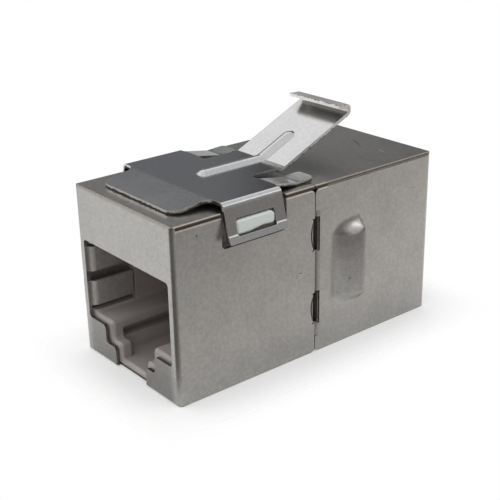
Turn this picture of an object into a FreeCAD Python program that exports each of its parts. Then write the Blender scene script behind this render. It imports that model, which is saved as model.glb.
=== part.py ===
import FreeCAD
import Part
import math
import os
from FreeCAD import Vector

# Shielded inline coupler for network leads, made to snap into a square panel cut-out.
# Two folded sheet shells close round two moulded jacks that stand back to back on a board,
# and a folded spring clip with a release lever sits on top of the front shell.
# Millimetres. Origin at the middle of the underside, +Z up, front port facing -Y.

# Shells
body_width = 14.6
body_height = 16.0
body_length = 29.9
seam_offset = 0.15         # seam between the shells, behind the middle of the body
shell_sheet = 0.3
shell_bend = 0.45          # outer radius of the bends beside an end face
face_bend = 0.2            # outer radius of the bends above and below an end face
top_bevel = 0.12           # bevel along the top panel's long edges
seam_gap = 0.08
corner_gap = 0.06          # open corner beside a folded panel
panel_corner = 0.5         # rounding of a side panel's corners at the seam

# Stepped window in the end face of each shell
window_flange = 0.87       # face left beside the window
window_drop = 4.97         # from the top of the body
window_shelf = 3.46
window_step_half = 3.83
window_step_floor = 1.8
window_slot_half = 2.36
window_corner = 0.35

# Ground tongues, folded in from the sides of the window, two above each other
ground_bend = 0.8          # outer radius of the fold
ground_length = 4.5
ground_below = 1.14        # from the window's shelf to the lower tongue
ground_between = 1.0
ground_above = 0.73        # from the upper tongue to the window's top

# Cut-outs in the front shell for the clip's tabs
notch_start = 4.91         # from the front face
notch_length = 6.92
notch_drop = 3.14          # from the top of the body
notch_corner = 0.4
notch_depth = 0.55         # how far the cut-out reaches into the top panel

# Rear shell's lap inside the front shell, and the hooks that hold it
lap_floor = 1.5
lap_drop = 2.3             # from the top of the body
lap_reach = 1.2            # how far the lap goes past the seam
lap_clearance = 0.08
joggle_gap = 0.05          # between the front shell's edge and the joggle
joggle_slant = 60.0        # degrees that the joggle falls inwards
joggle_crown = 0.4         # radius of its outer bend, at the middle line
joggle_root = 0.2          # radius of its inner bend, at the middle line
hook_low = 4.38            # middle of the lower hook
hook_drop = 4.54           # from the top of the body to the middle of the upper hook
hook_height = 2.9
hook_bend = 0.33           # outer radius
hook_reach = 0.95          # how far a hook goes in from the side
slot_height = 3.24
slot_front = 0.5           # slot's reach ahead of the seam
slot_rear = 0.6            # slot's reach behind the seam
hook_side_gap = 0.08
crease_bow = 0.4           # how far the crease round a hook's root bows out ahead of the seam
crease_width = 0.16
crease_depth = 0.16

# Ramp pressed out of each side of the rear shell, rising towards its sheared rear edge
ramp_start = 1.85          # from the seam
ramp_width = 3.65
ramp_floor = 3.6
ramp_drop = 4.0            # from the top of the body
ramp_proud = 0.8           # its crest at the rear edge
ramp_thin = 0.02           # its crest at both ends, where it runs out into the side
ramp_cap = 1.3             # height of its round upper end
ramp_foot = 1.15           # height of its round lower end
ramp_turns = ((2.5, 1.9), (1.8, 1.7))   # height and width of its upper and lower front corner
ramp_rise = ((0.0, 0.0), (0.12, 0.05), (0.3, 0.23), (0.6, 0.6), (1.0, 1.0))   # crest by share of its width
ramp_slit = 0.15           # opening of the sheared edge
ramp_steps = 6             # facets of each round end

# Jack housings
housing_clearance = 0.08
jack_wall = 1.4            # from the body's side to the mouth
jack_drop = 5.1            # from the top of the body
jack_shelf = 3.9
jack_step_half = 3.15
jack_step_floor = 2.15
jack_slot_half = 1.95
jack_floor = 0.75
jack_back_wall = 1.72
jack_corner = 0.35
jack_lead_in = 0.22        # chamfer of the mouth
catch_length = 1.05        # catch wall ahead of the latch recess
latch_half = 4.3           # side pockets of the latch recess
latch_roof = 3.1
tongue_sill = 0.2          # from the mouth's shelf and the tongues' ends to the side windows behind them
tab_pocket = 0.9           # depth of the hollow behind a clip tab
tab_pocket_drop = 1.4      # its roof, from the top of the body
nub_start = 6.15           # from the front face
nub_length = 4.01
nub_drop = 0.84            # from the top of the body
nub_height = 1.22
nub_reach = 0.5            # how far it stands out of the shell's side
nub_round = 0.3
nub_rear_round = 0.45      # its upper corner at the rear
nub_chamfer = 0.12
nub_wave = 0.2             # rise of its lower edge
nub_wave_start = 1.35      # from its front end
nub_wave_end = 2.75
nub_wave_fall = 0.08       # from the wave's top to the rear end

# Contacts, their carriers and the board
contact_count = 8
contact_pitch = 1.016
contact_thickness = 0.35
contact_width = 0.45
contact_clearance = 0.05
contact_lift = 0.6         # contact's middle above the carrier's underside
contact_bend = 0.5         # radius of the turn at the front, at its middle line
contact_slope = 20.0       # degrees that the sprung end falls
contact_end_gap = 1.24     # from the sprung end to the back of the mouth
contact_nose = 0.3         # from the carrier to the start of the turn
carrier_inset = 0.6        # from the side of the mouth
carrier_start = 5.17       # from the housing's face
carrier_height = 2.0
carrier_clearance = 0.1
board_thickness = 1.0
board_gap = 1.15           # from the board to a housing
board_inset = 1.2          # from the body's side
board_floor = 1.2
board_drop = 1.4           # from the top of the body

# Spring clip
clip_sheet = 0.3
clip_gap = 0.46            # under the plate, above the top panel
clip_start = 5.11          # from the front face
clip_length = 6.18
tab_inset = 0.1            # from the body's side to the middle line of a tab's root
tab_bend = 0.35            # at the middle line
tab_lean = 14.0            # degrees that a tab leans outwards
tab_drop = 2.36
foot_lean = 22.0           # degrees that a tab's foot leans outwards
foot_bend = 0.4
foot_drop = 0.7
opening_start = 6.08       # from the front face
opening_length = 4.14
opening_drop = 0.67        # from the top of the body
opening_height = 1.5
opening_corner = 0.2
front_lip_start = 1.55     # from the front face
front_lip_inset = 1.88     # from the body's side
front_lip_corner = 1.2
front_lip_fall = 0.44
front_lip_bend = 1.0
front_lip_fillet = 0.8     # inner corner between the lip and the plate
slit_fillet = 0.25         # inner corners behind the plate
slit_width = 1.05          # between the lever and a leaf
leaf_inset = 0.95          # side leaves that press on the top panel, from the body's side
leaf_width = 2.0
leaf_reach = 4.56          # from the plate
leaf_kink_reach = 2.51     # from the plate
leaf_clearance = 0.03
leaf_tip_rise = 0.12
leaf_corner = 0.42
leaf_bend = 0.5

# Release lever
lever_start = 15.15        # from the front face to the bend line
lever_rise = 24.3          # degrees above the plate
lever_length = 8.42
lever_hook = 0.3           # radius of the hooked end's two bends, at its middle line
lever_wall = 0.22          # hooked end's upright wall between them
lever_lip = 1.09
lever_lip_rise = 3.0       # degrees that the hooked end's lip rises towards its edge
knuckle_clearance = 0.03

# Bead pressed along the clip and up the lever
bead_width = 1.25
bead_height = 0.35
bead_start = 8.1           # from the front face
bead_up_lever = 4.2

# Derived places of the shells
half_width = body_width / 2
inner_half = half_width - shell_sheet
front_y = -body_length / 2
seam_y = seam_offset
front_length = seam_y - front_y
rear_length = body_length - front_length - seam_gap
window_half = half_width - window_flange
window_top = body_height - window_drop
ground_height = (window_top - window_shelf - ground_below - ground_between - ground_above) / 2
ground_floors = (window_shelf + ground_below, window_top - ground_above - ground_height)
notch_front = front_y + notch_start
notch_rear = notch_front + notch_length
notch_floor = body_height - notch_drop
lap_top = body_height - lap_drop
lap_mid = inner_half - lap_clearance - shell_sheet / 2
hook_centres = (hook_low, body_height - hook_drop)
ramp_front = seam_y + ramp_start
ramp_back = ramp_front + ramp_width
ramp_top = body_height - ramp_drop

# Derived places of the jacks
jack_half = half_width - jack_wall
jack_top = body_height - jack_drop
ground_face = jack_half
housing_half = inner_half - housing_clearance
housing_front = front_y + shell_sheet + housing_clearance
housing_back = -board_thickness / 2 - board_gap
housing_low = shell_sheet
housing_high = body_height - shell_sheet - housing_clearance
cavity_back = housing_back - jack_back_wall
nub_front = front_y + nub_start
nub_rear = nub_front + nub_length
nub_top = body_height - nub_drop
nub_floor = nub_top - nub_height
carrier_half = jack_half - carrier_inset
carrier_low = jack_top + carrier_clearance / 2
carrier_back = -board_thickness / 2
carrier_front = housing_front + carrier_start
contact_z = carrier_low + contact_lift
contact_turn = carrier_front - contact_nose
board_half = half_width - board_inset
board_top = body_height - board_drop

# Derived places of the clip
plate_mid = body_height + clip_gap + clip_sheet / 2
plate_top = plate_mid + clip_sheet / 2
clip_front = front_y + clip_start
clip_rear = clip_front + clip_length
tab_root = half_width - tab_inset
opening_front = front_y + opening_start
opening_rear = opening_front + opening_length
opening_top = body_height - opening_drop
opening_floor = opening_top - opening_height
front_lip_half = half_width - front_lip_inset
front_lip_end = front_y + front_lip_start
leaf_outer = half_width - leaf_inset
leaf_inner = leaf_outer - leaf_width
leaf_end = clip_rear + leaf_reach
lever_half = leaf_inner - slit_width
lever_root = front_y + lever_start
bead_front = front_y + bead_start

beyond = body_width        # reach of a cutter past the part
touch = 0.001              # tolerance for picking edges that lie on a face

X = Vector(1, 0, 0)
Y = Vector(0, 1, 0)
Z = Vector(0, 0, 1)


def plan(u, v):
    """Point of a profile drawn in plan, u along X and v along Y."""
    return Vector(u, v, 0)


def front(u, v):
    """Point of a profile seen from the front, u along X and v up."""
    return Vector(u, 0, v)


def side(u, v):
    """Point of a profile seen from the side, u along Y and v up."""
    return Vector(0, u, v)


def closed_face(edges):
    """Face inside a closed run of edges."""
    return Part.Face(Part.Wire(Part.__sortEdges__(edges)))


def outline(corners, place):
    """Face inside straight runs between corners (u, v, radius), rounded by their radii."""
    arcs = []
    for index, (u, v, radius) in enumerate(corners):
        here = place(u, v)
        before = place(*corners[index - 1][:2]) - here
        after = place(*corners[(index + 1) % len(corners)][:2]) - here
        if radius == 0:
            arcs.append((here, None, here))
            continue
        before.normalize()
        after.normalize()
        half_turn = before.getAngle(after) / 2
        middle = (before + after).normalize()
        trim = radius / math.tan(half_turn)
        crown = radius / math.sin(half_turn) - radius
        arcs.append((here + before * trim, here + middle * crown, here + after * trim))
    edges = []
    for index, (start, crown, end) in enumerate(arcs):
        if crown is not None:
            edges.append(Part.Arc(start, crown, end).toShape())
        following = arcs[(index + 1) % len(arcs)][0]
        edges.append(Part.LineSegment(end, following).toShape())
    return closed_face(edges)


def folded(start, heading, folds, thickness, place):
    """Face of a folded sheet seen edge on.

    The middle line starts at a point and a heading in degrees. Each fold is a straight run,
    then a turn in degrees to the left at a middle radius.
    """
    u, v = start
    angle = math.radians(heading)
    half = thickness / 2
    edges = []
    ends = [(u - math.sin(angle) * half, v + math.cos(angle) * half),
            (u + math.sin(angle) * half, v - math.cos(angle) * half)]
    first = list(ends)
    for run, turn, radius in folds:
        step = (run * math.cos(angle), run * math.sin(angle))
        for index, (a, b) in enumerate(ends):
            reached = (a + step[0], b + step[1])
            edges.append(Part.LineSegment(place(a, b), place(*reached)).toShape())
            ends[index] = reached
        u, v = u + step[0], v + step[1]
        if turn:
            way = math.copysign(1.0, turn)
            centre = (u - math.sin(angle) * radius * way, v + math.cos(angle) * radius * way)
            sweep = math.radians(turn)
            for index, offset in enumerate((half, -half)):
                reach = offset - radius * way
                points = []
                for share in (0.5, 1.0):
                    normal = angle + sweep * share
                    points.append((centre[0] - math.sin(normal) * reach,
                                   centre[1] + math.cos(normal) * reach))
                arc = Part.Arc(place(*ends[index]), place(*points[0]), place(*points[1]))
                edges.append(arc.toShape())
                ends[index] = points[1]
            angle += sweep
            u = centre[0] + math.sin(angle) * radius * way
            v = centre[1] - math.cos(angle) * radius * way
    edges.append(Part.LineSegment(place(*ends[0]), place(*ends[1])).toShape())
    edges.append(Part.LineSegment(place(*first[0]), place(*first[1])).toShape())
    return closed_face(edges)


def prism(face, axis, low, high):
    """Face carried along an axis from low to high."""
    moved = face.copy()
    moved.translate(axis * low)
    return moved.extrude(axis * (high - low))


def block(x, y, z):
    """Box between the low and high values of each axis."""
    size = (x[1] - x[0], y[1] - y[0], z[1] - z[0])
    return Part.makeBox(*size, Vector(x[0], y[0], z[0]))


def both_sides(shape):
    """Shape and its mirror image on the other side of the middle plane."""
    return [shape, shape.mirror(Vector(), X)]


def turned_round(shape):
    """Copy turned half a turn about the upright axis, for the rear end."""
    other = shape.copy()
    other.rotate(Vector(), Z, 180)
    return other


def joined(shapes):
    """Union of several solids, with seams between coplanar faces removed."""
    return shapes[0].fuse(shapes[1:]).removeSplitter()


def port_outline(half, top, shelf, step_half, step_floor, slot_half, floor, corner):
    """Stepped outline of a modular port: a wide mouth over two narrowing latch steps."""
    right = [(half, top, corner), (half, shelf, corner), (step_half, shelf, corner),
             (step_half, step_floor, corner), (slot_half, step_floor, corner), (slot_half, floor, 0)]
    left = [(-u, v, radius) for u, v, radius in reversed(right)]
    return outline(right + left, front)


def body_block(inset, back):
    """Block of the body with round front bends, drawn in by inset from its closed faces."""
    half = half_width - inset
    face = front_y + inset
    low = inset
    high = body_height - inset
    bend = max(shell_bend - inset, 0)
    fold = max(face_bend - inset, 0)
    from_above = outline([(-half, face, bend), (half, face, bend), (half, back, 0), (-half, back, 0)], plan)
    from_side = outline([(face, low, fold), (face, high, fold), (back, high, 0), (back, low, 0)], side)
    return prism(from_above, Z, low, high).common(prism(from_side, X, -half, half))


def ground_tongue(floor):
    """Spring tongue folded in from the window's right edge."""
    middle = ground_bend - shell_sheet / 2
    start = (inner_half, front_y + shell_sheet / 2)
    run = inner_half - ground_face - ground_bend
    folds = [(run, -90, middle), (ground_length - ground_bend, 0, 0)]
    return prism(folded(start, 180, folds, shell_sheet, plan), Z, floor, floor + ground_height)


def seam_corner(y, z, into_y, into_z):
    """Cutter that rounds the corner (y, z) of a side panel, with the panel towards into_y, into_z."""
    centre = (y + into_y * panel_corner, z + into_z * panel_corner)
    spans = [sorted((y - into_y * corner_gap, centre[0])), sorted((z - into_z * corner_gap, centre[1]))]
    square = block((inner_half, half_width + corner_gap), spans[0], spans[1])
    return square.cut(Part.makeCylinder(panel_corner, body_width, Vector(0, *centre), X))


def open_shell(length):
    """Folded shell with its end face at the front and its stepped window and tongues."""
    back = front_y + length
    shell = body_block(0, back).cut(body_block(shell_sheet, back + beyond))
    window = port_outline(window_half, window_top, window_shelf, window_step_half, window_step_floor,
                          window_slot_half, -shell_bend, window_corner)
    cutters = [prism(window, Y, front_y - shell_bend, front_y + shell_bend)]
    side_top = body_height - shell_sheet - corner_gap
    lengthwise = (front_y + shell_bend, back + beyond)
    over_side = block((inner_half - corner_gap, half_width + corner_gap), lengthwise,
                      (side_top, side_top + corner_gap))
    worn = outline([(half_width - top_bevel, body_height, 0), (half_width, body_height - top_bevel, 0),
                    (half_width + top_bevel, body_height + top_bevel, 0)], front)
    top_edge = prism(worn, Y, front_y - beyond, back + beyond)
    beside_floor = block((inner_half - corner_gap, inner_half), lengthwise, (-corner_gap, shell_sheet))
    corners = (seam_corner(back, 0, -1, 1), seam_corner(back, side_top, -1, -1))
    for cutter in (over_side, top_edge, beside_floor) + corners:
        cutters += both_sides(cutter)
    shell = shell.cut(cutters)
    tongues = []
    for floor in ground_floors:
        tongues += both_sides(ground_tongue(floor))
    return joined([shell] + tongues)


def hook_crease(centre):
    """Shallow curved groove in the right side ahead of the hook at a height."""
    half_chord = hook_height / 2
    radius = (half_chord ** 2 + crease_bow ** 2) / (2 * crease_bow)
    middle = Vector(half_width - crease_depth, seam_y - crease_bow + radius, centre)
    outer = Part.makeCylinder(radius + crease_width / 2, beyond, middle, X)
    ring = outer.cut(Part.makeCylinder(radius - crease_width / 2, beyond, middle, X))
    ahead = block((0, beyond), (seam_y - 2 * crease_bow, seam_y - hook_bend / 2),
                  (centre - half_chord, centre + half_chord))
    return ring.common(ahead)


def front_shell():
    """Front shell: open shell with cut-outs for the clip and hooks at the seam."""
    shell = open_shell(front_length)
    above = body_height + corner_gap
    notch = outline([(notch_front, notch_floor, notch_corner), (notch_rear, notch_floor, notch_corner),
                     (notch_rear, above, 0), (notch_front, above, 0)], side)
    cutters = both_sides(prism(notch, X, half_width - notch_depth, half_width + beyond))
    hooks = []
    creases = []
    middle = hook_bend - shell_sheet / 2
    for centre in hook_centres:
        low = centre - hook_height / 2
        high = centre + hook_height / 2
        relief = block((inner_half - corner_gap, half_width + corner_gap),
                       (seam_y - hook_bend, seam_y + corner_gap), (low - hook_side_gap, high + hook_side_gap))
        start = (half_width - shell_sheet / 2, seam_y - 2 * hook_bend)
        folds = [(hook_bend, 90, middle), (hook_reach - hook_bend, 0, 0)]
        hook = prism(folded(start, 90, folds, shell_sheet, plan), Z, low, high)
        cutters += both_sides(relief)
        hooks += both_sides(hook)
        creases += both_sides(hook_crease(centre))
    return joined([shell.cut(cutters)] + hooks).cut(creases)


def quarter_round(share):
    """Rise of a quarter round from 0 to 1 as share goes from 0 to 1."""
    return 1 - math.sqrt(1 - share ** 2)


def soft_step(share):
    """Rise from 0 to 1 that is level at both ends, limited to that range."""
    return (1 - math.cos(math.pi * min(max(share, 0), 1))) / 2


def ramp_section(x, z, back):
    """Cross section of the ramp at a height: flush at its front, proud at its rear edge.

    Its base lies at a distance x from the middle plane.
    """
    (upper_height, upper_width), (lower_height, lower_width) = ramp_turns
    upper = min(max((z - ramp_top + upper_height) / upper_height, 0), 1)
    lower = min(max((ramp_floor + lower_height - z) / lower_height, 0), 1)
    start = ramp_front + quarter_round(upper) * upper_width + quarter_round(lower) * lower_width
    rising = soft_step((z - ramp_floor) / ramp_foot) * soft_step((ramp_top - z) / ramp_cap)
    proud = max(ramp_proud * rising, ramp_thin)
    points = [Vector(x + proud * up, start + (back - start) * along, z) for along, up in ramp_rise]
    return Part.makePolygon(points + [Vector(x, back, z), points[0]])


def ramp_form(x, back):
    """Pressed ramp whose base lies at a distance x from the middle plane, as far as its rear edge."""
    low = [ramp_floor + ramp_foot * step / ramp_steps for step in range(ramp_steps + 1)]
    high = [ramp_top - ramp_cap * step / ramp_steps for step in range(ramp_steps, -1, -1)]
    return Part.makeLoft([ramp_section(x, z, back) for z in low + high], True, True)


def rear_shell():
    """Rear shell: open shell with a lap that slides inside the front shell, slots and ramps."""
    shell = turned_round(open_shell(rear_length))
    edge = seam_y + seam_gap
    fall = half_width - shell_sheet / 2 - lap_mid
    slant = math.radians(joggle_slant)
    bends = joggle_crown + joggle_root
    run = (fall - bends * (1 - math.cos(slant))) / math.sin(slant)
    straight = seam_y + joggle_gap + bends * math.sin(slant) + run * math.cos(slant)
    start = (half_width - shell_sheet / 2, straight + shell_sheet)
    folds = [(shell_sheet, -joggle_slant, joggle_crown), (run, joggle_slant, joggle_root),
             (joggle_gap + lap_reach, 0, 0)]
    lap = prism(folded(start, 270, folds, shell_sheet, plan), Z, lap_floor, lap_top)
    relief = block((inner_half - corner_gap, half_width + corner_gap),
                   (edge - corner_gap, straight + shell_sheet), (lap_floor, lap_top))
    slots = []
    for centre in hook_centres:
        slot = block((inner_half - hook_reach, half_width + beyond),
                     (seam_y - slot_front, seam_y + slot_rear),
                     (centre - slot_height / 2, centre + slot_height / 2))
        slots += both_sides(slot)
    shell = shell.cut(both_sides(relief))
    shell = joined([shell] + both_sides(lap) + both_sides(ramp_form(half_width, ramp_back)))
    return shell.cut(slots + both_sides(ramp_form(inner_half, ramp_back + ramp_slit)))


def jack_housing():
    """Moulded housing of one port, with its stepped cavity, latch recess and carrier pocket."""
    housing = block((-housing_half, housing_half), (housing_front, housing_back), (housing_low, housing_high))
    cavity = port_outline(jack_half, jack_top, jack_shelf, jack_step_half, jack_step_floor,
                          jack_slot_half, jack_floor, jack_corner)
    housing = housing.cut(prism(cavity, Y, housing_front - beyond, cavity_back))
    mouth = []
    for edge in housing.Edges:
        box = edge.BoundBox
        on_face = abs(box.YMin - housing_front) < touch and box.YLength < touch
        inside = box.XMax < housing_half - touch and box.XMin > touch - housing_half
        if on_face and inside and box.ZMin > housing_low + touch and box.ZMax < housing_high - touch:
            mouth.append(edge)
    housing = housing.makeChamfer(jack_lead_in, mouth)
    behind_catch = (housing_front + catch_length, cavity_back)
    catch = block((-jack_step_half, jack_step_half), behind_catch,
                  (jack_floor, jack_step_floor + jack_corner))
    pockets = block((-latch_half, latch_half), behind_catch, (jack_step_floor, latch_roof))
    side_window = block((-beyond, beyond), (housing_front - beyond, front_y + ground_length + tongue_sill),
                        (jack_shelf + tongue_sill, jack_top - jack_corner))
    pocket_half = carrier_half + carrier_clearance
    turn_room = contact_bend + contact_thickness
    pocket = block((-pocket_half, pocket_half), (contact_turn - turn_room, housing_back + beyond),
                   (carrier_low - carrier_clearance, carrier_low + carrier_height + carrier_clearance))
    return housing.cut([catch, pockets, side_window, pocket])


def snap_nub():
    """Nub on the housing's side that locks into the opening of a clip tab."""
    step = nub_floor + nub_wave
    face = outline([(nub_front, nub_floor, nub_round), (nub_front + nub_wave_start, nub_floor, 0),
                    (nub_front + nub_wave_end, step, 0), (nub_rear, step - nub_wave_fall, nub_round),
                    (nub_rear, nub_top, nub_rear_round), (nub_front, nub_top, nub_round)], side)
    reach = half_width + nub_reach
    nub = prism(face, X, housing_half - tab_pocket - housing_clearance, reach)
    crown = [edge for edge in nub.Edges if edge.BoundBox.XMin > reach - touch]
    return nub.makeChamfer(nub_chamfer, crown)


def front_housing():
    """Front jack housing with a hollow behind each clip tab and a snap nub in it."""
    hollow = block((housing_half - tab_pocket, beyond), (notch_front, notch_rear),
                   (notch_floor, body_height - tab_pocket_drop))
    housing = jack_housing().cut(both_sides(hollow))
    return joined([housing] + both_sides(snap_nub()))


def contact_place(index):
    """Distance of a contact from the middle plane."""
    return (index - (contact_count - 1) / 2) * contact_pitch


def contact(index):
    """Contact spring: flat run out of the board, round turn at the front and a sprung end."""
    start = (carrier_back, contact_z)
    slope = math.radians(contact_slope)
    spring_start = contact_turn - contact_bend * math.sin(slope)
    spring = (cavity_back - contact_end_gap - spring_start) / math.cos(slope)
    folds = [(carrier_back - contact_turn, 180 - contact_slope, contact_bend), (spring, 0, 0)]
    face = folded(start, 180, folds, contact_thickness, side)
    middle = contact_place(index)
    return prism(face, X, middle - contact_width / 2, middle + contact_width / 2)


def carrier():
    """Moulded carrier that holds one port's contacts side by side."""
    bar = block((-carrier_half, carrier_half), (carrier_front, carrier_back),
                (carrier_low, carrier_low + carrier_height))
    reach = contact_width / 2 + contact_clearance
    rise = contact_thickness / 2 + contact_clearance
    channels = []
    for index in range(contact_count):
        middle = contact_place(index)
        channels.append(block((middle - reach, middle + reach),
                              (carrier_front - beyond, carrier_back + beyond),
                              (contact_z - rise, contact_z + rise)))
    return bar.cut(channels)


def circuit_board():
    """Board that joins the two rows of contacts."""
    half = board_thickness / 2
    return block((-board_half, board_half), (-half, half), (board_floor, board_top))


def bead(length, overrun, floor):
    """Round bead on a flat sheet at the plate's height, as far down as a floor height.

    It starts an overrun before the lever's bend line and ends in a dome at a length from that line.
    """
    radius = ((bead_width / 2) ** 2 + bead_height ** 2) / (2 * bead_height)
    centre = plate_top + bead_height - radius
    far = lever_root + length - math.copysign(bead_width / 2, length)
    low, high = sorted((lever_root - math.copysign(overrun, length), far))
    ridge = Part.makeCylinder(radius, high - low, Vector(0, low, centre), Y)
    dome = Part.makeSphere(radius, Vector(0, far, centre))
    above = block((-beyond, beyond), (-body_length, body_length), (floor, plate_top + body_height))
    return ridge.fuse(dome).common(above)


def mitre(lean, way):
    """Half space on one side of a plane through the bend line, leaning back by lean degrees."""
    near = knuckle_clearance / 2
    span = sorted((lever_root + way * near, lever_root + way * body_length))
    space = block((-beyond, beyond), span, (0, plate_top + body_height))
    space.rotate(Vector(0, lever_root, plate_mid), X, lean)
    return space


def beaded(sheet, length, lean):
    """Sheet with the bead raised on its top and hollowed into its underside, mitred at the bend."""
    way = math.copysign(1.0, length)
    raised = bead(length, bead_width, plate_mid).common(mitre(lean, way))
    hollow = bead(length, -bead_width, plate_top - bead_height)
    hollow.translate(Z * -clip_sheet)
    return joined([sheet, raised]).cut(hollow)


def strip_plan(inner, outer, root, end, fillet, corner):
    """Plan of a strip that leaves the clip's plate at root, with inner corners rounded by fillet."""
    way = math.copysign(1.0, end - root)
    inside = root - way * clip_sheet
    wide = fillet + clip_sheet
    left = [(inner - wide, inside, 0), (inner - wide, root, 0), (inner, root, fillet), (inner, end, corner)]
    right = [(outer, end, corner), (outer, root, fillet), (outer + wide, root, 0), (outer + wide, inside, 0)]
    return outline(left + right, plan)


def clip_strip(folds, inner, outer, root, end, fillet, corner):
    """Strip of the clip, folded along its length from inside the plate and cut to its plan."""
    way = math.copysign(1.0, end - root)
    heading = 90 - 90 * way
    profile = folded((root - way * clip_sheet, plate_mid), heading, folds, clip_sheet, side)
    band = prism(profile, X, inner - beyond, outer + beyond)
    shape = strip_plan(inner, outer, root, end, fillet, corner)
    return band.common(prism(shape, Z, body_height, plate_top + clip_gap))


def clip_tabs():
    """Plate with its side bends, and the leaning tabs with their openings and feet."""
    half_section = [(tab_root - tab_bend, tab_lean - 90, tab_bend),
                    (tab_drop, foot_lean - tab_lean, foot_bend), (foot_drop, 0, 0)]
    wing = prism(folded((0, plate_mid), 0, half_section, clip_sheet, front), Y, clip_front, clip_rear)
    opening = outline([(opening_front, opening_floor, opening_corner),
                       (opening_rear, opening_floor, opening_corner),
                       (opening_rear, opening_top, opening_corner),
                       (opening_front, opening_top, opening_corner)], side)
    return joined(both_sides(wing)).cut(both_sides(prism(opening, X, inner_half - notch_depth, beyond)))


def front_lip():
    """Lip that slopes from the plate down to the top panel."""
    reach = clip_front - front_lip_end
    fall = math.degrees(math.atan2(front_lip_fall, reach))
    folds = [(clip_sheet, fall, front_lip_bend), (math.hypot(front_lip_fall, reach), 0, 0)]
    return clip_strip(folds, -front_lip_half, front_lip_half, clip_front, front_lip_end,
                      front_lip_fillet, front_lip_corner)


def side_leaf():
    """Leaf that springs from the plate down to the top panel and kicks up at its tip."""
    drop = clip_gap - leaf_clearance
    fall = math.degrees(math.atan2(drop, leaf_kink_reach))
    tip_reach = leaf_reach - leaf_kink_reach
    lift = math.degrees(math.atan2(leaf_tip_rise, tip_reach))
    folds = [(clip_sheet, -fall, leaf_bend), (math.hypot(drop, leaf_kink_reach), fall + lift, leaf_bend),
             (math.hypot(leaf_tip_rise, tip_reach), 0, 0)]
    return clip_strip(folds, leaf_inner, leaf_outer, clip_rear, leaf_end, slit_fillet, leaf_corner)


def spring_clip():
    """Folded clip: plate with side tabs, front lip, two leaves and the strip to the lever."""
    flat = [(lever_root - clip_rear + clip_sheet, 0, 0)]
    strip = clip_strip(flat, -lever_half, lever_half, clip_rear, lever_root, slit_fillet, 0)
    sheet = joined([clip_tabs(), front_lip(), strip] + both_sides(side_leaf()))
    sheet = beaded(sheet, bead_front - lever_root, lever_rise / 2)
    socket = Part.makeCylinder(clip_sheet / 2 + knuckle_clearance, 2 * beyond,
                               Vector(-beyond, lever_root, plate_mid), X)
    return sheet.cut(socket)


def release_lever():
    """Lever: arm with a hooked end, rounded at its root where the clip bends."""
    folds = [(lever_length, 90 - lever_rise, lever_hook), (lever_wall, 90 - lever_lip_rise, lever_hook),
             (lever_lip, 0, 0)]
    arm = prism(folded((lever_root, plate_mid), 0, folds, clip_sheet, side), X, -lever_half, lever_half)
    root = Part.makeCylinder(clip_sheet / 2, 2 * lever_half, Vector(-lever_half, lever_root, plate_mid), X)
    lever = beaded(joined([arm, root]), bead_up_lever, -lever_rise / 2)
    lever.rotate(Vector(0, lever_root, plate_mid), X, lever_rise)
    return lever


def save(name, shape):
    """Writes one piece."""
    shape.exportStep(os.path.join("parts", name + ".step"))
    print(name, "solids", len(shape.Solids), "valid", shape.isValid(), "volume", round(shape.Volume, 3))


def main():
    """Builds and writes every piece."""
    os.makedirs("parts", exist_ok=True)
    save("front_shield", front_shell())
    save("rear_shield", rear_shell())
    save("spring_clip", spring_clip())
    save("release_lever", release_lever())
    save("front_jack_housing", front_housing())
    save("rear_jack_housing", turned_round(jack_housing()))
    save("front_contact_carrier", carrier())
    save("rear_contact_carrier", turned_round(carrier()))
    save("circuit_board", circuit_board())
    for index in range(contact_count):
        save("front_contact_%d" % (index + 1), contact(index))
        save("rear_contact_%d" % (index + 1), turned_round(contact(contact_count - 1 - index)))


main()
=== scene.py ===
"""Looks of a shielded inline coupler for network leads: finishes, the sprung clip and the studio."""
import logging
import math
from collections.abc import Callable
from dataclasses import dataclass, field
from enum import Enum

import bpy
import numpy as np
from mathutils import Matrix, Vector
from mathutils.geometry import delaunay_2d_cdt

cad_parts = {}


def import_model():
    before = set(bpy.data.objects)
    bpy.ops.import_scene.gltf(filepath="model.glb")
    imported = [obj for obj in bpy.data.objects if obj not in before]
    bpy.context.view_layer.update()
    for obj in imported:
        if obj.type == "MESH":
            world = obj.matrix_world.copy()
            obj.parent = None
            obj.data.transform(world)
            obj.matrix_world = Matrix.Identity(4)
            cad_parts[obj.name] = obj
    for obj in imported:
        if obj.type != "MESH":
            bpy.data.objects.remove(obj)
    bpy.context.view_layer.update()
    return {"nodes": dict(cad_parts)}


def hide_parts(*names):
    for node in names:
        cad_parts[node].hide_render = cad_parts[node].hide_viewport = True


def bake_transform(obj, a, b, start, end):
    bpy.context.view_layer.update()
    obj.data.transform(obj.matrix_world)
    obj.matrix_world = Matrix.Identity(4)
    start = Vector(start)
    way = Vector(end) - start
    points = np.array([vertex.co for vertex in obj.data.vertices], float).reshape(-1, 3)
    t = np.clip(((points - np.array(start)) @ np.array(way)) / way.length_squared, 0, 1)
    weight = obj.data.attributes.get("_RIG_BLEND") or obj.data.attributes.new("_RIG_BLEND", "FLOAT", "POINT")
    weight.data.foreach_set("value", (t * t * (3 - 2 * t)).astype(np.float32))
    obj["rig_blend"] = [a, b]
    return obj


MM = 0.001
NOISE_SPAN = (0.3, 0.7)  # values that most of a noise pattern takes
CLOUDY = (3.0, 0.55)     # octaves and strength of the finer noise in cloudy patterns
CRISP = (2.0, 0.6)       # the same in crisp patterns
PATCH_CORE = 0.6         # share of a patch inside its soft rim
EDGE_SAMPLES = 6         # rays that find the round look of an edge
MIX_COLOURS = (6, 7)     # inputs of the mixing node that take colours
MIX_RESULT = 2           # its output that gives one
INSIDE_ONLY = 1          # triangulation that fills the outline and nothing else
SAME_PLACE = 1e-5        # millimetres within which points are one
LEVEL = 1e-12            # rise below which a side counts as level
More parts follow.
